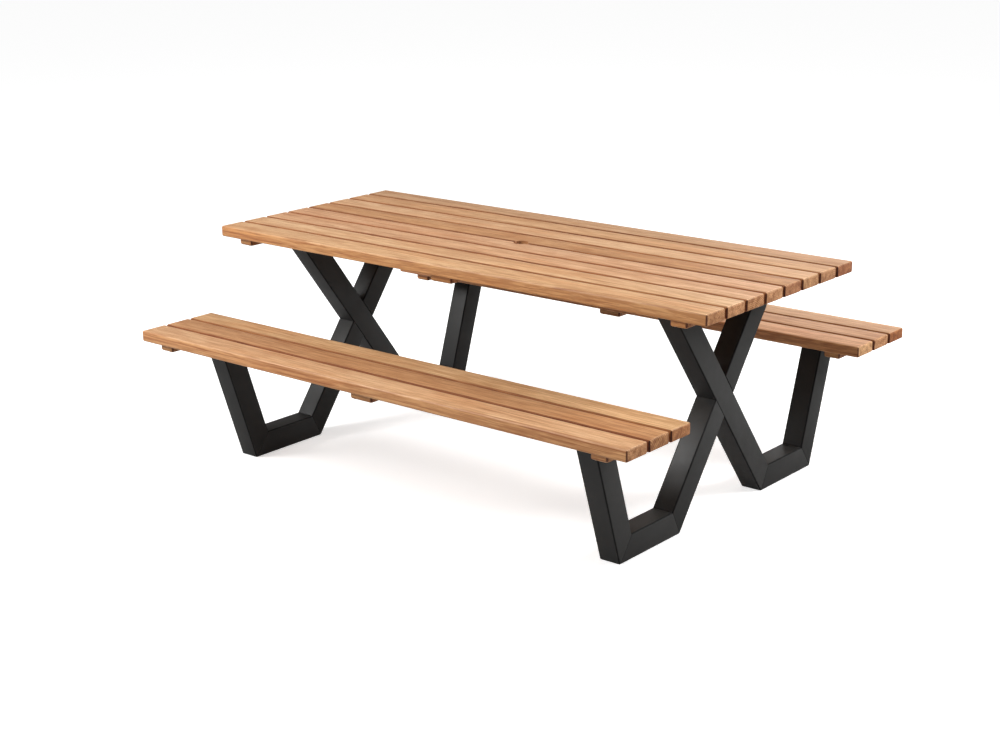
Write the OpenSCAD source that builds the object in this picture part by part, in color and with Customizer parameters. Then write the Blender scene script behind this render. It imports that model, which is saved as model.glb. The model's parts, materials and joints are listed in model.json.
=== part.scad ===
// Picnic table with two fixed benches. The planks run along X, the ground is Z = 0, and the origin
// is on the ground under the middle of the table. "Near" is the -Y side, "left" is the -X end.

/* [Overall] */
// Length of the table top
table_length = 2000; // [1500:10:2400]
// Height of the top face of the table above the ground
table_height = 760; // [720:5:800]
// Length of each bench
bench_length = 2000; // [1500:10:2400]
// Height of the seats above the ground
seat_height = 463; // [420:1:500]
// Gap between the edge of the top and the inner edge of a bench, seen from above
leg_gap = 67; // [40:1:150]

/* [Planks] */
// Width of one plank
plank_width = 98; // [80:1:120]
// Thickness of one plank
plank_thickness = 37; // [30:1:50]
// Gap between two planks
plank_gap = 8; // [4:1:14]
// Radius of the long edges of a plank
plank_round = 6; // [2:0.5:8]

/* [Battens] */
// Width of the battens near the ends
batten_width = 60; // [50:1:90]
// Width of the battens at mid length
middle_batten_width = 90; // [80:1:120]
// Thickness of every batten
batten_thickness = 22; // [18:1:30]
// How far a batten stops short of the plank edges
batten_inset = 15; // [5:1:30]
// Distance from the end of a plank to the outer face of the end batten
batten_setback = 75; // [40:1:100]
// Radius of the long lower edges of a batten
batten_round = 8; // [2:0.5:8]

/* [Frames] */
// Width of the frame tube, along the table
tube_width = 75; // [60:1:90]
// Depth of the frame tube, in the plane of the frame
tube_depth = 80; // [60:1:100]
// Wall of the frame tube
tube_wall = 3; // [2:0.5:5]
// Outer corner radius of the frame tube
tube_round = 5; // [4:0.5:8]
// Distance from the end of the top, or of the benches if they are shorter, to the outer face of a frame
frame_setback = 193; // [170:1:300]
// Distance from the middle to the middle line of an arm at the ground
arm_foot = 287; // [240:1:330]
// Distance from the middle to the middle line of an arm at its top end
arm_head = 254; // [200:1:300]
// Distance from the middle to the middle line of a bench post at the ground
post_foot = 507; // [460:1:540]

/* [Plates] */
// Thickness of the plates that carry the planks
plate_thickness = 5; // [4:0.5:8]
// How far a plate stops short of the plank edges
plate_inset = 25; // [20:1:40]
// Corner radius of a plate
plate_round = 8; // [4:1:12]

/* [Parasol hole] */
// Diameter of the parasol hole
hole_diameter = 50; // [30:1:60]

/* [Screws] */
// Shank diameter of the screws through the plates
plate_screw = 6; // [5:0.5:8]
// Head diameter of the screws through the plates
plate_screw_head = 12; // [10:0.5:14]
// Head height of the screws through the plates
plate_screw_head_height = 3.5; // [3:0.5:5]
// Shank diameter of the screws through the battens
batten_screw = 5; // [4:0.5:6]
// Head diameter of the screws through the battens
batten_screw_head = 9; // [8:0.5:11]
// Depth of a screw in a plank
screw_depth = 24; // [15:1:28]
// Play round a screw in its hole, on the radius
screw_play = 0.2; // [0.1:0.05:0.5]

/* [Hidden] */
$fn = 48;
top_planks = 8;
seat_planks = 3;
ends = ["left", "right"];
sides = ["near", "far"];
places = ["left", "middle", "right"];
wood_tones = ["#d9a574", "#cf9465", "#e0b084", "#c98d62"];
batten_tone = "#b37a4e";
steel_tone = "#2b2b2b";
plate_tone = "#333333";
screw_tone = "silver";
// Extra length that makes a cut run clean through
through = 1;
// Space left between a tube and a screw head beside it
head_space = 5.5;
// Plate left outside a screw head
plate_margin = 5;
// Distance from the edge of a batten to its screws
batten_screw_edge = 16;
// Distance from the middle of a plank to the screws of a batten, across the plank
batten_screw_spread = 25;
// Width of the hexagon socket and its depth, as shares of the screw's shank diameter
socket_share = 0.62;
socket_depth_share = 0.35;

plank_pitch = plank_width + plank_gap;
top_width = top_planks * plank_pitch - plank_gap;
seat_width = seat_planks * plank_pitch - plank_gap;
seat_middle = top_width / 2 + leg_gap + seat_width / 2;
top_under = table_height - plank_thickness;
seat_under = seat_height - plank_thickness;
arm_end = top_under - plate_thickness;
post_end = seat_under - plate_thickness;
frame_middle = min(table_length, bench_length) / 2 - frame_setback - tube_width / 2;
plate_screw_offset = tube_width / 2 + head_space + plate_screw_head / 2;
plate_width = 2 * (plate_screw_offset + plate_screw_head / 2 + plate_margin);
batten_screw_head_height = (batten_screw_head - batten_screw) / 2;

// An arm and a post lean from the upright by these angles, and a level cut through either is this long
arm_lean = atan2(arm_foot + arm_head, arm_end);
arm_half = tube_depth / 2 / cos(arm_lean);
post_lean = atan2(seat_middle - post_foot, post_end);
post_half = tube_depth / 2 / cos(post_lean);

// Heights where the middle lines, the lower faces and the upper faces of the two arms cross
cross_middle = arm_foot / tan(arm_lean);
cross_low = (arm_foot - arm_half) / tan(arm_lean);
cross_high = (arm_foot + arm_half) / tan(arm_lean);

function arm_y(z) = arm_foot - z * tan(arm_lean);
function post_y(z) = post_foot + z * tan(post_lean);
function side_sign(side) = side == "near" ? -1 : 1;
function end_sign(end) = end == "left" ? -1 : 1;
function place_x(place, length) =
    place == "middle" ? 0 : end_sign(place) * (length / 2 - batten_setback - batten_width / 2);
function place_width(place) = place == "middle" ? middle_batten_width : batten_width;
function plank_ys(count, middle) =
    [for (i = [0 : count - 1]) middle + (i - (count - 1) / 2) * plank_pitch];

top_ys = plank_ys(top_planks, 0);
near_ys = plank_ys(seat_planks, -seat_middle);
far_ys = plank_ys(seat_planks, seat_middle);
function seat_ys(side) = side == "near" ? near_ys : far_ys;

// Outlines of the tubes of one frame, as [y, z], with the foot on the +Y side
foot_outline = [
    [arm_y(0) - arm_half, 0],
    [post_y(0) + post_half, 0],
    [post_y(tube_depth) - post_half, tube_depth],
    [arm_y(tube_depth) + arm_half, tube_depth],
];
post_outline = [
    [post_y(0) + post_half, 0],
    [post_y(post_end) + post_half, post_end],
    [post_y(post_end) - post_half, post_end],
    [post_y(tube_depth) - post_half, tube_depth],
];
long_arm_outline = [
    [arm_y(0) - arm_half, 0],
    [arm_y(tube_depth) + arm_half, tube_depth],
    [arm_y(arm_end) + arm_half, arm_end],
    [arm_y(arm_end) - arm_half, arm_end],
];
lower_arm_outline = [
    [arm_y(0) - arm_half, 0],
    [arm_y(tube_depth) + arm_half, tube_depth],
    [arm_half, cross_middle],
    [0, cross_low],
];
upper_arm_outline = [
    [-arm_half, cross_middle],
    [0, cross_high],
    [arm_y(arm_end) + arm_half, arm_end],
    [arm_y(arm_end) - arm_half, arm_end],
];

// ---------------------------------------------------------------- shared shapes

// A rectangle in the middle of the sheet with all four corners rounded
module round_rect(size, radius) {
    square([size.x - 2 * radius, size.y], center = true);
    square([size.x, size.y - 2 * radius], center = true);
    for (sx = [-1, 1])
        for (sy = [-1, 1])
            translate([sx * (size.x / 2 - radius), sy * (size.y / 2 - radius)])
                circle(radius);
}

// Turns an outline drawn as [y, z] up into the YZ plane and gives it a width along X
module across(width) {
    rotate([90, 0, 90])
        linear_extrude(width, center = true)
            children();
}

// Screws and their holes, head down, with the underside of what is screwed on at Z = 0
module plate_screw_at(thickness) {
    difference() {
        translate([0, 0, -plate_screw_head_height])
            cylinder(h = plate_screw_head_height, d = plate_screw_head);
        translate([0, 0, -plate_screw_head_height - through])
            cylinder(
                h = plate_screw * socket_depth_share + through,
                d = plate_screw * socket_share,
                $fn = 6
            );
    }
    cylinder(h = thickness + screw_depth, d = plate_screw);
}

module batten_screw_at(thickness) {
    difference() {
        cylinder(h = batten_screw_head_height, d1 = batten_screw_head, d2 = batten_screw);
        translate([0, 0, -through])
            cylinder(
                h = batten_screw * socket_depth_share + through,
                d = batten_screw * socket_share,
                $fn = 6
            );
    }
    translate([0, 0, batten_screw_head_height])
        cylinder(h = thickness + screw_depth - batten_screw_head_height, d = batten_screw);
}

// The hole that a screw of this diameter makes in a plank whose underside is at Z = 0
module pilot_hole(diameter) {
    translate([0, 0, -through])
        cylinder(h = screw_depth + screw_play + through, d = diameter + 2 * screw_play);
}

// Places of the screws that join plates or battens to a row of planks, at Z = 0
module at_plate_screws(ends_used, ys) {
    for (end = ends_used)
        for (offset = [-plate_screw_offset, plate_screw_offset])
            for (y = ys)
                translate([end_sign(end) * frame_middle + offset, y, 0])
                    children();
}

module at_batten_screws(places_used, ys, length) {
    for (place = places_used)
        for (hand = [-1, 1])
            for (y = ys)
                translate([
                    place_x(place, length) + hand * (place_width(place) / 2 - batten_screw_edge),
                    y + hand * (place == "left" ? -1 : 1) * batten_screw_spread,
                    0
                ])
                    children();
}

module parasol_cut(bottom, height) {
    translate([0, 0, bottom - through])
        cylinder(h = height + 2 * through, d = hole_diameter, $fn = 96);
}

// ---------------------------------------------------------------- wood

// One plank with its underside at this height and the pilot holes for its screws
module plank(length, y, underside) {
    difference() {
        translate([0, y, underside + plank_thickness / 2])
            across(length)
                round_rect([plank_width, plank_thickness], plank_round);
        translate([0, 0, underside]) {
            at_plate_screws(ends, [y])
                pilot_hole(plate_screw);
            at_batten_screws(places, [y], length)
                pilot_hole(batten_screw);
        }
    }
}

module top_plank(index) {
    color(wood_tones[index % len(wood_tones)])
        difference() {
            plank(table_length, top_ys[index - 1], top_under);
            parasol_cut(top_under, plank_thickness);
        }
}

module bench_plank(side, index) {
    color(wood_tones[(index + 1) % len(wood_tones)])
        plank(bench_length, seat_ys(side)[index - 1], seat_under);
}

// A batten lies across the planks, square above and rounded along its two lower edges
module batten(place, ys, length, underside) {
    width = place_width(place);
    reach = (len(ys) * plank_pitch - plank_gap) / 2 - batten_inset;
    middle = (ys[0] + ys[len(ys) - 1]) / 2;
    color(batten_tone)
        difference() {
            translate([place_x(place, length), middle, underside - batten_thickness / 2])
                rotate([90, 0, 0])
                    linear_extrude(2 * reach, center = true) {
                        round_rect([width, batten_thickness], batten_round);
                        translate([-width / 2, 0])
                            square([width, batten_thickness / 2]);
                    }
            translate([0, 0, underside - batten_thickness])
                at_batten_screws([place], ys, length)
                    batten_screw_hole();
        }
}

// Countersunk hole through a batten whose underside is at Z = 0
module batten_screw_hole() {
    translate([0, 0, -through])
        cylinder(h = batten_thickness + 2 * through, d = batten_screw + 2 * screw_play);
    translate([0, 0, -screw_play])
        cylinder(
            h = batten_screw_head_height + 2 * screw_play,
            d1 = batten_screw_head + 4 * screw_play,
            d2 = batten_screw
        );
}

module top_batten(place) {
    difference() {
        batten(place, top_ys, table_length, top_under);
        parasol_cut(top_under - batten_thickness, batten_thickness);
    }
}

module bench_batten(side, place) {
    batten(place, seat_ys(side), bench_length, seat_under);
}

// ---------------------------------------------------------------- frames

module tube_section() {
    difference() {
        round_rect([tube_width, tube_depth], tube_round);
        round_rect([tube_width - 2 * tube_wall, tube_depth - 2 * tube_wall], tube_round - tube_wall);
    }
}

// A length of tube along the line from the point at the bottom to the one at the top, cut to an outline
module tube(bottom, top, outline, end, side) {
    lean = atan2(top.x - bottom.x, top.y - bottom.y);
    reach = norm(top - bottom) + 2 * tube_depth;
    color(steel_tone)
        translate([end_sign(end) * frame_middle, 0, 0])
            mirror([0, side_sign(side) < 0 ? 1 : 0, 0])
                intersection() {
                    translate([0, bottom.x, bottom.y])
                        rotate([-lean, 0, 0])
                            translate([0, 0, -tube_depth])
                                linear_extrude(reach)
                                    tube_section();
                    across(tube_width + 2 * through)
                        polygon(outline);
                }
}

module foot(end, side) {
    level = tube_depth / 2;
    tube([arm_y(level), level], [post_y(level), level], foot_outline, end, side);
}

module post(end, side) {
    tube([post_y(0), 0], [post_y(post_end), post_end], post_outline, end, side);
}

module arm(end, side, outline) {
    tube([arm_y(0), 0], [arm_y(arm_end), arm_end], outline, end, side);
}

// A flat plate under a row of planks, with its top face at this height and a hole for each screw
module carrier_plate(end, ys, underside) {
    length = len(ys) * plank_pitch - plank_gap - 2 * plate_inset;
    middle = (ys[0] + ys[len(ys) - 1]) / 2;
    color(plate_tone)
        translate([0, 0, underside - plate_thickness])
            difference() {
                translate([end_sign(end) * frame_middle, middle, 0])
                    linear_extrude(plate_thickness)
                        round_rect([plate_width, length], plate_round);
                at_plate_screws([end], ys)
                    translate([0, 0, -through])
                        cylinder(h = plate_thickness + 2 * through, d = plate_screw + 2 * screw_play);
            }
}

// ---------------------------------------------------------------- screws

module plate_screws(ys, underside) {
    color(screw_tone)
        translate([0, 0, underside - plate_thickness])
            at_plate_screws(ends, ys)
                plate_screw_at(plate_thickness);
}

module batten_screws(ys, length, underside) {
    color(screw_tone)
        translate([0, 0, underside - batten_thickness])
            at_batten_screws(places, ys, length)
                batten_screw_at(batten_thickness);
}

// ---------------------------------------------------------------- nodes

for (i = [1 : top_planks])
    top_plank(i);

for (side = sides)
    for (i = [1 : seat_planks])
        bench_plank(side, i);

for (place = places)
    top_batten(place);

for (side = sides)
    for (place = places)
        bench_batten(side, place);

for (end = ends) {
    arm(end, "far", long_arm_outline);
    arm(end, "near", lower_arm_outline);
    arm(end, "near", upper_arm_outline);
    carrier_plate(end, top_ys, top_under);
    for (side = sides) {
        foot(end, side);
        post(end, side);
        carrier_plate(end, seat_ys(side), seat_under);
    }
}

plate_screws(top_ys, top_under);  // top_plate_screws
batten_screws(top_ys, table_length, top_under);  // top_batten_screws
for (side = sides) {
    plate_screws(seat_ys(side), seat_under);
    batten_screws(seat_ys(side), bench_length, seat_under);
}
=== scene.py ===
import json
import math

import bmesh
import bpy
from mathutils import Matrix, Vector


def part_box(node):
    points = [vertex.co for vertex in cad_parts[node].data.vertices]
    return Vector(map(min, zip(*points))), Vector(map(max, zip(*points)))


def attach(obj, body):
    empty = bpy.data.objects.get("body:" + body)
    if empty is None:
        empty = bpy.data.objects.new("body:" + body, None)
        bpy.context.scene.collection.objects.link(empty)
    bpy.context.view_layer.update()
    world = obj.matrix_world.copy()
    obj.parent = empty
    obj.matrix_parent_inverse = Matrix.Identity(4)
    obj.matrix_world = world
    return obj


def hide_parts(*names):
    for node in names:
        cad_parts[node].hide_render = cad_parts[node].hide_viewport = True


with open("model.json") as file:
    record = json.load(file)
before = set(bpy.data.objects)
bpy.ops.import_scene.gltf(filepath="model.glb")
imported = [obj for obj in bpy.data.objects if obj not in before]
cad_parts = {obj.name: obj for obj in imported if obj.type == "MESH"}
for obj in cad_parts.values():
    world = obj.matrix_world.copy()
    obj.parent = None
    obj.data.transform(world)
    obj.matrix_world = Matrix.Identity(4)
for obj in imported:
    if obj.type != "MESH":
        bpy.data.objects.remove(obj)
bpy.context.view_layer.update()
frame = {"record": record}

# Finishing sizes in metres. The pieces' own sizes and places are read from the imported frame.
plank_round = 0.006
batten_round = 0.008
hole_round = 0.0015
tube_round = 0.005
seam_ease = 0.0016

# The screws through the battens: from a batten's edge, across a plank from its middle, and their heads
batten_screw_edge = 0.016
batten_screw_spread = 0.025
countersink_radius = 0.0049
countersink_depth = 0.0024
screw_hole_radius = 0.0027
countersink_flare = (countersink_radius - screw_hole_radius) / countersink_depth

# How far a drill reaches out past a face, and how near two places are to count as the same
drill_reach = 0.001
same_place = 0.0002

# How finely curves are cut: steps round an edge and sides round a hole. Corners up to the last value,
# in degrees, are shaded smooth.
edge_steps = 5
hole_edge_steps = 3
seam_steps = 2
hole_sides = 96
countersink_sides = 32
smooth_degrees = 40

ends = ("left", "right")
places = ("left", "middle", "right")
bore = next(mount for mount in frame["record"]["mounts"] if mount["name"] == "parasol_hole")
hole_radius = bore["dims"]["r_mm"] / 1000


# ------------------------------------------------------------------ shaping

def deselect_all():
    if bpy.context.object and bpy.context.object.mode != "OBJECT":
        bpy.ops.object.mode_set(mode="OBJECT")
    bpy.ops.object.select_all(action="DESELECT")


def take_up(piece):
    """This piece alone is selected and active."""
    deselect_all()
    bpy.context.view_layer.objects.active = piece
    piece.select_set(True)


def set_in_place(piece):
    """Moves a new piece's place, turn and size into its mesh."""
    take_up(piece)
    bpy.ops.object.transform_apply(location=True, rotation=True, scale=True)
    return piece


def block(name, middle, size, lean=0.0):
    """A block of this size about its middle, leaning round the X axis."""
    deselect_all()
    bpy.ops.mesh.primitive_cube_add(size=1, location=middle, rotation=(lean, 0, 0), scale=size)
    piece = set_in_place(bpy.context.object)
    piece.name = name
    piece.data.name = name
    return piece


def start_edit(piece):
    """Opens the piece for editing with nothing selected, and gives its mesh to select on."""
    take_up(piece)
    bpy.ops.object.mode_set(mode="EDIT")
    bpy.ops.mesh.select_mode(type="EDGE")
    bpy.ops.mesh.select_all(action="DESELECT")
    return bmesh.from_edit_mesh(piece.data)


def end_edit():
    bpy.ops.object.mode_set(mode="OBJECT")
    bpy.ops.object.select_all(action="DESELECT")


def round_edges(piece, chosen, radius, steps):
    """Rounds the edges that the test picks."""
    shape = start_edit(piece)
    for edge in shape.edges:
        edge.select = chosen(edge)
    bmesh.update_edit_mesh(piece.data)
    bpy.ops.mesh.bevel(offset=radius, segments=steps, affect="EDGES", clamp_overlap=True)
    end_edit()


def saw_off(piece, point, outward):
    """Saws the piece through at a plane, drops the outward side and closes the cut."""
    start_edit(piece)
    bpy.ops.mesh.select_all(action="SELECT")
    bpy.ops.mesh.bisect(
        plane_co=point, plane_no=outward, use_fill=True, clear_outer=True, threshold=0.00001
    )
    end_edit()


def smooth(piece):
    """Shades the piece smooth across all but its sharp corners."""
    take_up(piece)
    bpy.ops.object.shade_smooth_by_angle(angle=math.radians(smooth_degrees))
    deselect_all()


def drill(piece, bits):
    """Takes the bits out of the piece, one Boolean for all of them."""
    deselect_all()
    for bit in bits:
        bit.select_set(True)
    bpy.context.view_layer.objects.active = bits[0]
    if len(bits) > 1:
        bpy.ops.object.join()
    bit = set_in_place(bits[0])
    take_up(piece)
    cut = piece.modifiers.new("drilling", "BOOLEAN")
    cut.operation = "DIFFERENCE"
    cut.solver = "EXACT"
    cut.object = bit
    bpy.ops.object.modifier_apply(modifier=cut.name)
    bpy.data.objects.remove(bit)


def hand_in(piece, node):
    """The piece stands for the CAD node of this name and rides with the table."""
    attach(piece, "root")
    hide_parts(node)


# ------------------------------------------------------------------ shader helpers

def put(tree, socket, value):
    """Links a socket to an input, or sets the input's own value."""
    if isinstance(value, bpy.types.NodeSocket):
        tree.links.new(value, socket)
    else:
        socket.default_value = value


def add(tree, kind, inputs=None, **settings):
    """A new shader node with these settings and inputs."""
    made = tree.nodes.new(kind)
    for name, value in settings.items():
        setattr(made, name, value)
    for key, value in (inputs or {}).items():
        put(tree, made.inputs[key], value)
    return made


def maths(tree, operation, *values, clamp=False):
    made = add(tree, "ShaderNodeMath", operation=operation, use_clamp=clamp)
    for socket, value in zip(made.inputs, values):
        put(tree, socket, value)
    return made.outputs[0]


def vectors(tree, operation, *values):
    made = add(tree, "ShaderNodeVectorMath", operation=operation)
    for socket, value in zip(made.inputs, values):
        put(tree, socket, value)
    return made


def span(tree, value, low, high, to_low=0.0, to_high=1.0):
    """Runs smoothly from to_low to to_high while the value goes from low to high."""
    made = add(
        tree, "ShaderNodeMapRange",
        {"Value": value, "From Min": low, "From Max": high, "To Min": to_low, "To Max": to_high},
        interpolation_type="SMOOTHSTEP",
    )
    return made.outputs["Result"]


def noise(tree, vector, grains, detail=2.0, roughness=0.5, output="Fac"):
    """Noise with this many grains to a metre along each axis."""
    scaled = vectors(tree, "MULTIPLY", vector, grains).outputs[0]
    made = add(
        tree, "ShaderNodeTexNoise",
        {"Vector": scaled, "Scale": 1.0, "Detail": detail, "Roughness": roughness},
    )
    return made.outputs[output]


# Where the Mix node keeps its factor, its two colours and the colour that comes out
mix_factor, mix_first, mix_second, mix_result = 0, 6, 7, 2


def blend(tree, factor, first, second, mode="MIX"):
    """From the first colour to the second one as the factor goes from 0 to 1."""
    made = add(tree, "ShaderNodeMix", data_type="RGBA", blend_type=mode)
    for index, value in ((mix_factor, factor), (mix_first, first), (mix_second, second)):
        put(tree, made.inputs[index], value)
    return made.outputs[mix_result]


def tinted(tree, factor, colour, tint):
    """The colour, multiplied by a tint as far as the factor says."""
    return blend(tree, factor, colour, blend(tree, 1.0, colour, (*tint, 1), "MULTIPLY"))


def surface_facing(tree):
    """The way the surface faces, as X, Y and Z."""
    normal = add(tree, "ShaderNodeNewGeometry").outputs["Normal"]
    return add(tree, "ShaderNodeSeparateXYZ", {0: normal}).outputs


def new_group(name, inputs, outputs):
    """A node group: its tree, what is given to it and what it puts out."""
    tree = bpy.data.node_groups.new(name, "ShaderNodeTree")
    for socket, kind, value in inputs:
        made = tree.interface.new_socket(
            name=socket, in_out="INPUT", socket_type="NodeSocket" + kind
        )
        if value is not None:
            made.default_value = value
    for socket, kind in outputs:
        tree.interface.new_socket(
            name=socket, in_out="OUTPUT", socket_type="NodeSocket" + kind
        )
    given = tree.nodes.new("NodeGroupInput").outputs
    made = tree.nodes.new("NodeGroupOutput").inputs
    return tree, given, made


def new_material(name):
    """A material, its tree and its Principled shader."""
    material = bpy.data.materials.new(name)
    material.use_nodes = True
    tree = material.node_tree
    return material, tree, tree.nodes["Principled BSDF"]


def lay_on(tree, shader, group, relief, strength):
    """Gives the shader a group's colour, roughness and height. The relief is in metres."""
    bump = add(
        tree, "ShaderNodeBump",
        {"Height": group.outputs["Height"], "Strength": strength, "Distance": relief},
    )
    put(tree, shader.inputs["Base Color"], group.outputs["Color"])
    put(tree, shader.inputs["Roughness"], group.outputs["Roughness"])
    put(tree, shader.inputs["Normal"], bump.outputs["Normal"])


# ------------------------------------------------------------------ oiled timber

# What each mark in the wood does to the colour under it, as red, green and blue
ruddy_tint = (0.96, 0.83, 0.72)
sandy_tint = (1.04, 1.1, 1.16)
dark_streak_tint = (0.64, 0.46, 0.36)
pale_streak_tint = (1.18, 1.26, 1.34)
pore_tint = (0.55, 0.42, 0.34)
# Painted shade: the long sides darker and redder than the top
side_shade_tint = (0.92, 0.78, 0.6)
end_ring_tint = (0.5, 0.42, 0.36)
end_dark_tint = (0.72, 0.62, 0.54)
end_pale_tint = (1.2, 1.26, 1.32)
end_fleck_tint = (1.14, 1.18, 1.22)
# Painted highlight on the rounded edge over each end
end_edge_highlight_tint = (1.15, 1.24, 1.34)
# Painted shade on the sides and edges that face into a gap between planks
gap_shade_tint = (0.5, 0.34, 0.22)
# Painted shade on the rounded upright corners where a side meets an end
corner_shade_tint = (0.3, 0.2, 0.14)

# How strongly the marks show, from 0 to 1
ring_strength = 0.35
cloud_strength = 0.6
dark_streak_strength = 0.85
pale_streak_strength = 0.9
pore_strength = 0.55
end_ring_strength = 0.75

# The wall of the parasol hole is kept free of the painted shade of the upright corners. It comes in
# between these two shares of the hole's radius, measured from the middle of the hole.
bore_wall_start, bore_wall_end = 1.08, 1.25

# The relief of the grain in metres, and how strongly it is seen
grain_relief = 0.0004
grain_bump = 0.5


def make_timber():
    """Oiled hardwood along X: growth rings about a pith line, bands, clouds, streaks and pores."""
    tree, given, made = new_group(
        "oiled timber",
        [
            ("Vector", "Vector", None),
            ("Place", "Vector", None),
            ("Pale", "Color", (0.6, 0.35, 0.19, 1)),
            ("Deep", "Color", (0.45, 0.22, 0.1, 1)),
            ("End", "Color", (0.3, 0.14, 0.07, 1)),
            ("Ring Width", "Float", 0.006),
            # 1 on a side where another plank lies beside it, so painted shade darkens that gap
            ("Near Gap Shade", "Float", 1.0),
            ("Far Gap Shade", "Float", 1.0),
        ],
        [("Color", "Color"), ("Roughness", "Float"), ("Height", "Float")],
    )
    vector = given["Vector"]

    def plus(first, second, clamp=False):
        return maths(tree, "ADD", first, second, clamp=clamp)

    def times(first, second):
        return maths(tree, "MULTIPLY", first, second)

    # The pith line wanders a little along the plank, and the rings are not quite round
    wander = noise(tree, vector, (1.1, 4.0, 4.0), 1.0, output="Color")
    wander = vectors(tree, "SUBTRACT", wander, (0.5, 0.5, 0.5)).outputs[0]
    wander = vectors(tree, "MULTIPLY", wander, (0.0, 0.05, 0.05)).outputs[0]
    bent = vectors(tree, "ADD", vector, wander).outputs[0]
    across = vectors(tree, "MULTIPLY", bent, (0, 1, 1)).outputs[0]
    radius = vectors(tree, "LENGTH", across).outputs["Value"]
    ring = maths(tree, "DIVIDE", radius, given["Ring Width"])
    ring = plus(ring, times(noise(tree, bent, (0.7, 9.0, 9.0), 1.0), 2.5))
    ring = maths(tree, "FRACT", ring)
    late = times(span(tree, ring, 0.35, 0.92), span(tree, ring, 1.0, 0.93))

    # Marks drawn out along the grain, with few grains to a metre lengthways and many across
    bands = span(tree, noise(tree, bent, (0.45, 22.0, 22.0)), 0.34, 0.68)
    cloud = noise(tree, bent, (2.4, 14.0, 14.0), 2.0, 0.55)
    ribbon = noise(tree, bent, (3.2, 75.0, 75.0), 2.0, 0.55)
    streak = noise(tree, bent, (1.5, 150.0, 150.0), 2.0, 0.55)
    fleck = noise(tree, bent, (10.0, 170.0, 170.0), 2.0, 0.6)
    fibre = noise(tree, bent, (11.0, 420.0, 420.0), 3.0, 0.65)
    pores = span(tree, noise(tree, bent, (45.0, 1300.0, 1300.0), 1.0), 0.64, 0.74)

    # Which way the wood faces: the ends, the sides, the rounded corners and the edges on a gap
    facing = surface_facing(tree)
    along = maths(tree, "ABSOLUTE", facing["X"])
    end_mask = span(tree, along, 0.45, 0.85)
    # Painted shade on the long sides
    side_shade_mask = span(tree, maths(tree, "ABSOLUTE", facing["Y"]), 0.55, 0.95)
    # Painted highlight on the rounded edge between the top and an end
    end_edge_highlight_mask = span(tree, times(along, facing["Z"]), 0.12, 0.36)
    from_bore = vectors(tree, "MULTIPLY", given["Place"], (1, 1, 0)).outputs[0]
    from_bore = vectors(tree, "LENGTH", from_bore).outputs["Value"]
    off_bore = span(
        tree, from_bore, bore_wall_start * hole_radius, bore_wall_end * hole_radius
    )
    # Painted shade on the rounded upright corners, left off the wall of the parasol hole
    corner = maths(tree, "ABSOLUTE", times(facing["X"], facing["Y"]))
    corner_shade_mask = times(span(tree, corner, 0.2, 0.42), off_bore)
    # Painted shade on the sides and rounded edges facing into a gap, weaker on the wall of the parasol
    # hole
    near_gap_shade = times(span(tree, facing["Y"], -0.05, -0.4), given["Near Gap Shade"])
    far_gap_shade = times(span(tree, facing["Y"], 0.05, 0.4), given["Far Gap Shade"])
    gap_shade_mask = times(plus(near_gap_shade, far_gap_shade), span(tree, off_bore, 0.0, 1.0, 0.35, 1.0))

    depth = times(bands, 0.5)
    depth = plus(depth, span(tree, ribbon, 0.3, 0.7, 0.0, 0.7))
    depth = plus(depth, span(tree, fibre, 0.25, 0.75, -0.5, 0.5))
    depth = plus(depth, span(tree, fleck, 0.3, 0.7, -0.75, 0.75))
    depth = maths(tree, "SUBTRACT", depth, 0.15)
    depth = plus(depth, times(late, ring_strength), clamp=True)
    colour = blend(tree, depth, given["Pale"], given["Deep"])
    for mask, strength, tint in (
        (span(tree, cloud, 0.52, 0.66), cloud_strength, ruddy_tint),
        (span(tree, cloud, 0.48, 0.34), cloud_strength, sandy_tint),
        (span(tree, streak, 0.56, 0.7), dark_streak_strength, dark_streak_tint),
        (span(tree, streak, 0.44, 0.3), pale_streak_strength, pale_streak_tint),
        (pores, pore_strength, pore_tint),
        (side_shade_mask, 1.0, side_shade_tint),
    ):
        colour = tinted(tree, times(mask, strength), colour, tint)

    # End grain soaks up more oil, so it is darker, with clear rings and open pores
    patches = noise(tree, bent, (20.0, 55.0, 55.0))
    speckle = noise(tree, bent, (120.0, 240.0, 240.0), 3.0, 0.6)
    end_colour = tinted(tree, times(late, end_ring_strength), given["End"], end_ring_tint)
    for mask, tint in (
        (span(tree, patches, 0.48, 0.64), end_dark_tint),
        (span(tree, patches, 0.46, 0.34), end_pale_tint),
        (span(tree, speckle, 0.5, 0.64), end_dark_tint),
        (span(tree, speckle, 0.48, 0.36), end_fleck_tint),
    ):
        end_colour = tinted(tree, mask, end_colour, tint)
    colour = blend(tree, end_mask, colour, end_colour)

    # Painted highlight on the rounded edge over the end; painted shade darkens the gaps between planks
    # and the upright corners
    colour = tinted(tree, end_edge_highlight_mask, colour, end_edge_highlight_tint)
    colour = tinted(tree, gap_shade_mask, colour, gap_shade_tint)
    put(tree, made["Color"], tinted(tree, corner_shade_mask, colour, corner_shade_tint))

    rough = plus(times(fibre, 0.22), 0.36)
    rough = plus(rough, times(end_mask, 0.2))
    put(tree, made["Roughness"], plus(rough, times(gap_shade_mask, 0.3), clamp=True))

    height = maths(tree, "SUBTRACT", times(fibre, 0.55), times(pores, 0.5))
    put(tree, made["Height"], plus(height, times(late, 0.25)))
    return tree


timber = make_timber()

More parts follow.
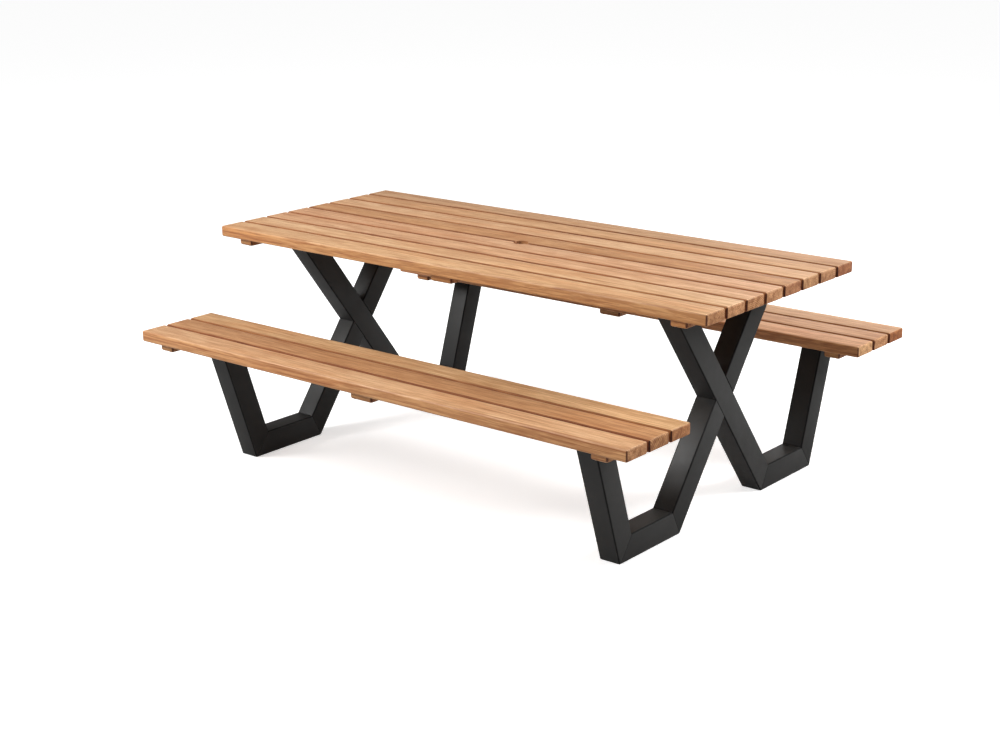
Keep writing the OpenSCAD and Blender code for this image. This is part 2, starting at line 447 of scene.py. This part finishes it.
# The tones of each plank, from the near side: pale wood, deep wood and end grain
top_tones = (
    ((0.74, 0.445, 0.23, 1), (0.55, 0.286, 0.132, 1), (0.52, 0.245, 0.096, 1)),
    ((0.784, 0.491, 0.268, 1), (0.583, 0.316, 0.154, 1), (0.605, 0.296, 0.128, 1)),
    ((0.742, 0.435, 0.24, 1), (0.536, 0.271, 0.132, 1), (0.51, 0.235, 0.091, 1)),
    ((0.763, 0.45, 0.256, 1), (0.551, 0.281, 0.141, 1), (0.583, 0.288, 0.125, 1)),
    ((0.6, 0.322, 0.151, 1), (0.428, 0.201, 0.085, 1), (0.446, 0.189, 0.075, 1)),
    ((0.75, 0.46, 0.256, 1), (0.576, 0.314, 0.158, 1), (0.55, 0.283, 0.122, 1)),
    ((0.69, 0.403, 0.21, 1), (0.508, 0.263, 0.12, 1), (0.49, 0.237, 0.104, 1)),
    ((0.6, 0.356, 0.196, 1), (0.442, 0.233, 0.112, 1), (0.363, 0.133, 0.048, 1)),
)
near_bench_tones = (
    ((0.733, 0.433, 0.23, 1), (0.545, 0.278, 0.132, 1), (0.506, 0.242, 0.099, 1)),
    ((0.6, 0.308, 0.14, 1), (0.43, 0.192, 0.079, 1), (0.44, 0.199, 0.072, 1)),
    ((0.742, 0.443, 0.222, 1), (0.545, 0.289, 0.127, 1), (0.43, 0.176, 0.059, 1)),
)
far_bench_tones = (
    ((0.712, 0.38, 0.194, 1), (0.514, 0.237, 0.107, 1), (0.68, 0.38, 0.175, 1)),
    ((0.647, 0.345, 0.176, 1), (0.467, 0.215, 0.097, 1), (0.56, 0.278, 0.122, 1)),
    ((0.674, 0.398, 0.217, 1), (0.518, 0.271, 0.134, 1), (0.36, 0.12, 0.03, 1)),
)
rows = {"top": top_tones, "near_bench": near_bench_tones, "far_bench": far_bench_tones}
batten_tones = ((0.64, 0.36, 0.175, 1), (0.47, 0.235, 0.1, 1), (0.5, 0.23, 0.092, 1))


# How the pieces are cut from the log, in metres: how far on each one lies, how far aside of the pith
# at most, how far above it, and the ring width. The last value is the most that the grain slopes, in
# radians. A swing is how far a value goes up and down from piece to piece.
cut_step = 3.7
pith_aside = 0.11
pith_below, pith_swing = 0.07, 0.05
ring_width, ring_width_swing = 0.005, 0.002
grain_slope = 0.006


def oiled_timber(name, tones, middle, number, shaded_gaps=(0, 0)):
    """The finish of one piece, cut from its own part of the log.

    The multiples of the number spread the pieces round the pith so that no two are alike."""
    material, tree, shader = new_material(name)
    turn = 2.4 * number
    from_pith = Vector((
        cut_step * number,
        pith_aside * math.cos(turn),
        pith_below + pith_swing * math.sin(turn),
    ))
    place = add(tree, "ShaderNodeTexCoord").outputs["Object"]
    where = add(
        tree, "ShaderNodeMapping",
        {
            "Vector": place,
            "Location": from_pith - middle,
            "Rotation": (0, 0, grain_slope * math.sin(5 * number)),
        },
    )
    grain = add(tree, "ShaderNodeGroup", node_tree=timber)
    pale, deep, end = tones
    for socket, value in (
        ("Vector", where.outputs[0]),
        ("Place", place),
        ("Pale", pale),
        ("Deep", deep),
        ("End", end),
        ("Ring Width", ring_width + ring_width_swing * math.sin(3 * number)),
        ("Near Gap Shade", shaded_gaps[0]),
        ("Far Gap Shade", shaded_gaps[1]),
    ):
        put(tree, grain.inputs[socket], value)
    lay_on(tree, shader, grain, grain_relief, grain_bump)
    return material


# ------------------------------------------------------------------ coated and bare steel

# The powder coat: what mottling adds to its colour, the dust on it, how far painted shade darkens its
# corners, and the relief of its orange peel in metres with how strongly it is seen
mottle_lift = (0.012, 0.0115, 0.011, 1)
dust_colour = (0.09, 0.085, 0.078, 1)
edge_shade_tint = (0.1, 0.1, 0.1)
peel_relief = 0.00025
peel_bump = 0.35


def make_powder_coat():
    """Matt powder coat: orange peel, mottling, dust on what faces up and painted shade as dark lines
    on the corners.
    """
    tree, given, made = new_group(
        "powder coat",
        [("Vector", "Vector", None), ("Color", "Color", (0.02, 0.02, 0.019, 1))],
        [("Color", "Color"), ("Roughness", "Float"), ("Height", "Float")],
    )
    peel = noise(tree, given["Vector"], (700, 700, 700), 2.0, 0.55)
    mottle = noise(tree, given["Vector"], (9, 9, 9), 3.0, 0.6)
    facing = surface_facing(tree)
    dust = maths(
        tree, "MULTIPLY",
        span(tree, facing["Z"], 0.5, 1.0, 0.0, 0.25), span(tree, mottle, 0.35, 0.75, 0.2, 1.0),
    )
    lighter = blend(tree, 1.0, given["Color"], mottle_lift, "ADD")
    colour = blend(tree, maths(tree, "MULTIPLY", mottle, 0.6), given["Color"], lighter)
    colour = blend(tree, dust, colour, dust_colour)

    # The rounds along the tubes face half across the frame, so this product is large only there.
    # Painted shade darkens these rounds, which are also made rougher.
    across = maths(tree, "ABSOLUTE", facing["X"])
    corner = maths(tree, "MULTIPLY", across, maths(tree, "SUBTRACT", 1.0, across))
    corner = span(tree, corner, 0.06, 0.18)
    put(tree, made["Color"], tinted(tree, corner, colour, edge_shade_tint))
    rough = span(tree, mottle, 0.3, 0.7, 0.44, 0.54)
    rough = maths(tree, "ADD", rough, maths(tree, "MULTIPLY", corner, 0.45))
    put(tree, made["Roughness"], rough)
    put(tree, made["Height"], peel)
    return tree


powder_coat = make_powder_coat()


def coated_steel(name, colour):
    """Steel under powder coat of this colour."""
    material, tree, shader = new_material(name)
    coat = add(tree, "ShaderNodeGroup", node_tree=powder_coat)
    put(tree, coat.inputs["Vector"], add(tree, "ShaderNodeTexCoord").outputs["Object"])
    put(tree, coat.inputs["Color"], colour)
    lay_on(tree, shader, coat, peel_relief, peel_bump)
    return material


def bare_stainless(name):
    """Stainless steel with fine turning marks."""
    material, tree, shader = new_material(name)
    where = add(tree, "ShaderNodeTexCoord").outputs["Object"]
    marks = noise(tree, where, (900, 900, 2500))
    colour = blend(tree, marks, (0.42, 0.41, 0.40, 1), (0.6, 0.59, 0.57, 1))
    put(tree, shader.inputs["Base Color"], colour)
    put(tree, shader.inputs["Roughness"], span(tree, marks, 0.3, 0.7, 0.28, 0.42))
    put(tree, shader.inputs["Metallic"], 1.0)
    return material


frame_steel = coated_steel("frame_steel", (0.014, 0.0138, 0.013, 1))
plate_steel = coated_steel("plate_steel", (0.018, 0.0178, 0.017, 1))
screw_steel = bare_stainless("screw_steel")


# ------------------------------------------------------------------ planks and battens

def parasol_hole(piece, low, high):
    """Drills the parasol hole through a piece of the top and eases the rims where it comes out."""
    deselect_all()
    bpy.ops.mesh.primitive_cylinder_add(
        vertices=hole_sides, radius=hole_radius, depth=high.z - low.z + 2 * drill_reach,
        location=(0, 0, (low.z + high.z) / 2),
    )
    drill(piece, [bpy.context.object])

    def on_rim(edge):
        """Whether it runs round the upper or the lower rim, and not down the wall between them."""
        for corner in edge.verts:
            off_rim = abs(math.hypot(corner.co.x, corner.co.y) - hole_radius)
            off_face = min(abs(corner.co.z - low.z), abs(corner.co.z - high.z))
            if off_rim > same_place or off_face > same_place:
                return False
        return abs(edge.verts[0].co.z - edge.verts[1].co.z) < same_place

    round_edges(piece, on_rim, hole_round, hole_edge_steps)


def plank(node, tones, number, slot, shaded_gaps):
    """A plank with rounded edges. The gaps are 1 on the sides where another plank lies beside it, and
    painted shade darkens the edges there.
    """
    low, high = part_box(node)
    middle = (low + high) / 2
    piece = block("wood_" + node, middle, high - low)
    round_edges(piece, lambda edge: True, plank_round, edge_steps)
    if slot == "top_wood" and min(abs(low.y), abs(high.y)) < hole_radius:
        parasol_hole(piece, low, high)
    smooth(piece)
    piece.data.materials.append(oiled_timber("oiled_" + node, tones, middle, number, shaded_gaps))
    hand_in(piece, node)


def batten(row, place, planks, number):
    """A batten, square against the planks and rounded elsewhere, with countersunk screw holes."""
    node = f"{row}_batten_{place}"
    low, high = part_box(node)
    middle = (low + high) / 2
    piece = block("wood_" + node, middle, high - low)

    def below_planks(edge):
        return min(corner.co.z for corner in edge.verts) < high.z - drill_reach

    round_edges(piece, below_planks, batten_round, edge_steps)
    if node == "top_batten_middle":
        parasol_hole(piece, low, high)
    bits = []
    for hand in (-1, 1):
        x = middle.x + hand * ((high.x - low.x) / 2 - batten_screw_edge)
        turn = -hand if place == "left" else hand
        for index in range(1, planks + 1):
            plank_low, plank_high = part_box(f"{row}_plank_{index}")
            y = (plank_low.y + plank_high.y) / 2 + turn * batten_screw_spread
            deselect_all()
            bpy.ops.mesh.primitive_cone_add(
                vertices=countersink_sides,
                radius1=countersink_radius + countersink_flare * drill_reach,
                radius2=screw_hole_radius,
                depth=countersink_depth + drill_reach,
                location=(x, y, low.z + (countersink_depth - drill_reach) / 2),
            )
            bits.append(bpy.context.object)
    drill(piece, bits)
    smooth(piece)
    piece.data.materials.append(oiled_timber("oiled_" + node, batten_tones, middle, number))
    hand_in(piece, node)


number = 1
for row, tones_of_row in rows.items():
    slot = "top_wood" if row == "top" else "bench_wood"
    for index, tones in enumerate(tones_of_row, 1):
        # 1 on each side with a plank beside it, where painted shade darkens the gap
        shaded_gaps = (int(index > 1), int(index < len(tones_of_row)))
        plank(f"{row}_plank_{index}", tones, number, slot, shaded_gaps)
        number += 1
    for place in places:
        batten(row, place, len(tones_of_row), number)
        number += 1


# ------------------------------------------------------------------ frames

# Before it is sawn, a tube is this many of its depths longer than its line. Directions count as
# parallel where the product of the two is more than the second value.
spare_depths = 3
nearly_parallel = 0.999


def tube(node, width, depth, first, last, cuts):
    """A length of tube about a middle line in the frame's plane, sawn off at each cut.

    The ends of the line and of each cut are (y, z). What lies on the line's side is kept."""
    low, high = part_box(node)
    x = (low.x + high.x) / 2
    first = Vector((x, *first))
    last = Vector((x, *last))
    middle = (first + last) / 2
    along = (last - first).normalized()
    lean = math.atan2(-along.y, along.z)
    length = (last - first).length + spare_depths * depth
    piece = block("steel_" + node, middle, (width, depth, length), lean)

    def runs_along(edge):
        run = (edge.verts[0].co - edge.verts[1].co).normalized()
        return abs(run.dot(along)) > nearly_parallel

    round_edges(piece, runs_along, tube_round, edge_steps)
    sawn = []
    for start, end in cuts:
        start = Vector((x, *start))
        outward = (Vector((x, *end)) - start).cross(Vector((1, 0, 0))).normalized()
        if (middle - start).dot(outward) > 0:
            outward.negate()
        saw_off(piece, start, outward)
        sawn.append(outward)

    def round_a_cut(edge):
        return any(
            face.normal.dot(outward) > nearly_parallel
            for face in edge.link_faces for outward in sawn
        )

    round_edges(piece, round_a_cut, seam_ease, seam_steps)
    smooth(piece)
    piece.data.materials.append(frame_steel)
    hand_in(piece, node)


def frame_tubes(end):
    """The seven tubes of one welded frame, mitred at the feet and butted where the arms cross."""
    foot_low, foot_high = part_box(f"{end}_frame_far_foot")
    post_low, post_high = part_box(f"{end}_frame_far_post")
    arm_low, arm_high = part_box(f"{end}_frame_long_arm")
    width = foot_high.x - foot_low.x
    depth = foot_high.z - foot_low.z
    arm_slope = (foot_low.y - arm_low.y) / arm_high.z
    arm_half = depth / 2 * math.hypot(1, arm_slope)
    post_slope = (post_high.y - foot_high.y) / post_high.z
    post_half = depth / 2 * math.hypot(1, post_slope)

    # Points on the far side of the frame, and the long arm's. The near side has them mirrored.
    heel = (foot_low.y, 0)
    toe = (foot_high.y, 0)
    arm_root = (foot_low.y + arm_half, 0)
    arm_head = (arm_low.y + arm_half, arm_high.z)
    post_root = (foot_high.y - post_half, 0)
    post_head = (post_high.y - post_half, post_high.z)
    arm_mitre = (heel, (arm_high.y, depth))
    post_mitre = (toe, (post_low.y, depth))
    cross_low = (0, foot_low.y / arm_slope)
    cross = (0, (foot_low.y + arm_half) / arm_slope)
    cross_high = (0, (foot_low.y + 2 * arm_half) / arm_slope)
    lower_butt = (cross_low, (arm_half, cross[1]))
    upper_butt = (cross_high, (-arm_half, cross[1]))
    under_top = ((0, arm_high.z), (1, arm_high.z))
    under_seat = ((0, post_high.z), (1, post_high.z))

    def on_side(hand, points):
        return [(hand * y, z) for y, z in points]

    near, far = -1, 1
    foot_line = ((foot_low.y, depth / 2), (foot_high.y, depth / 2))
    post_line = (post_root, post_head)
    for name, hand, line, cuts in (
        ("near_foot", near, foot_line, (arm_mitre, post_mitre)),
        ("near_post", near, post_line, (post_mitre, under_seat)),
        ("far_foot", far, foot_line, (arm_mitre, post_mitre)),
        ("far_post", far, post_line, (post_mitre, under_seat)),
        ("long_arm", far, (arm_root, arm_head), (arm_mitre, under_top)),
        ("lower_arm", near, (arm_root, cross), (arm_mitre, lower_butt)),
        ("upper_arm", near, (cross, arm_head), (upper_butt, under_top)),
    ):
        first, last = on_side(hand, line)
        sided_cuts = [on_side(hand, cut) for cut in cuts]
        tube(f"{end}_frame_{name}", width, depth, first, last, sided_cuts)


for end in ends:
    frame_tubes(end)


# ------------------------------------------------------------------ plates and screws

def finish_node(node, material):
    """Gives a CAD node that stays in view its finish."""
    thing = bpy.data.objects[node]
    for slot in thing.material_slots:
        slot.material = material


for end in ends:
    for plate in ("top_plate", "near_seat_plate", "far_seat_plate"):
        finish_node(f"{end}_{plate}", plate_steel)
for row in rows:
    finish_node(f"{row}_plate_screws", screw_steel)
    finish_node(f"{row}_batten_screws", screw_steel)


# ------------------------------------------------------------------ studio

# What the floor and the surroundings give off, the floor's size and how far it lies under the feet, in
# metres, and the overhead light's strength with its spread in degrees
floor_glow = 0.55
surroundings_light = 0.18
floor_size = 60
below_feet = 0.0005
sun_strength = 0.9
sun_spread = 50

# The camera's place in metres, how it is turned in degrees, and its lens in millimetres
camera_place = (3.5573, -4.4329, 2.0052)
camera_turn = 39.48
camera_tilt = -16.68
camera_roll = -0.49
camera_lens = 63.11
camera_sensor = 36
camera_reach = 200


def seen_directly(tree):
    """1 for what the camera sees and 0 for what lights the table."""
    return add(tree, "ShaderNodeLightPath").outputs["Is Camera Ray"]


def pale_floor():
    """A plain matt floor, nearly white to look at, that throws little light back up at the table."""
    deselect_all()
    bpy.ops.mesh.primitive_plane_add(size=floor_size, location=(0, 0, -below_feet))
    floor = set_in_place(bpy.context.object)
    floor.name = "studio_floor"
    material, tree, shader = new_material("pale_floor")
    seen = seen_directly(tree)
    colour = blend(tree, seen, (0.5, 0.5, 0.5, 1), (0.9, 0.9, 0.9, 1))
    put(tree, shader.inputs["Base Color"], colour)
    put(tree, shader.inputs["Emission Color"], blend(tree, seen, (0, 0, 0, 1), (1, 1, 1, 1)))
    put(tree, shader.inputs["Emission Strength"], floor_glow)
    put(tree, shader.inputs["Roughness"], 0.9)
    put(tree, shader.inputs["Specular IOR Level"], 0.1)
    floor.data.materials.append(material)


def softbox(name, place, aim, size, power):
    """A large square light at a place, turned towards a point."""
    deselect_all()
    bpy.ops.object.light_add(type="AREA", location=place)
    light = bpy.context.object
    light.name = name
    light.rotation_euler = (Vector(aim) - Vector(place)).to_track_quat("-Z", "Y").to_euler()
    light.data.shape = "SQUARE"
    light.data.size = size
    light.data.energy = power
    light.visible_camera = False


def overhead_light():
    """Even light from straight above, soft enough to blur the shadow's edge."""
    deselect_all()
    bpy.ops.object.light_add(type="SUN", location=(0, 0, 4))
    light = bpy.context.object
    light.name = "overhead_light"
    light.data.energy = sun_strength
    light.data.angle = math.radians(sun_spread)


def white_surroundings():
    """The backdrop is white to look at, and gives only a little light."""
    world = bpy.data.worlds.new("studio")
    world.use_nodes = True
    tree = world.node_tree
    background = tree.nodes["Background"]
    put(tree, background.inputs["Color"], (1, 1, 1, 1))
    strength = span(tree, seen_directly(tree), 0.0, 1.0, surroundings_light, 1.0)
    put(tree, background.inputs["Strength"], strength)
    bpy.context.scene.world = world


def camera():
    """The camera stands to the front right, well above the table, and looks down at it."""
    data = bpy.data.cameras.new("camera")
    data.sensor_width = camera_sensor
    data.lens = camera_lens
    data.clip_end = camera_reach
    made = bpy.data.objects.new("camera", data)
    bpy.context.scene.collection.objects.link(made)
    made.matrix_world = (
        Matrix.Translation(camera_place)
        @ Matrix.Rotation(math.radians(camera_turn), 4, "Z")
        @ Matrix.Rotation(math.radians(90 + camera_tilt), 4, "X")
        @ Matrix.Rotation(math.radians(camera_roll), 4, "Z")
    )
    bpy.context.scene.camera = made


pale_floor()
softbox("front_softbox", place=(-3.2, -4.0, 4.0), aim=(0, 0, 0.4), size=2.4, power=290)
softbox("back_softbox", place=(4.0, 2.4, 3.3), aim=(0.4, 0, 0.4), size=2.2, power=205)
softbox("sheen_softbox", place=(-0.8, 4.6, 2.2), aim=(0.6, 0, 0.76), size=2.0, power=17)
overhead_light()
white_surroundings()
camera()
bpy.context.scene.view_settings.view_transform = "Standard"
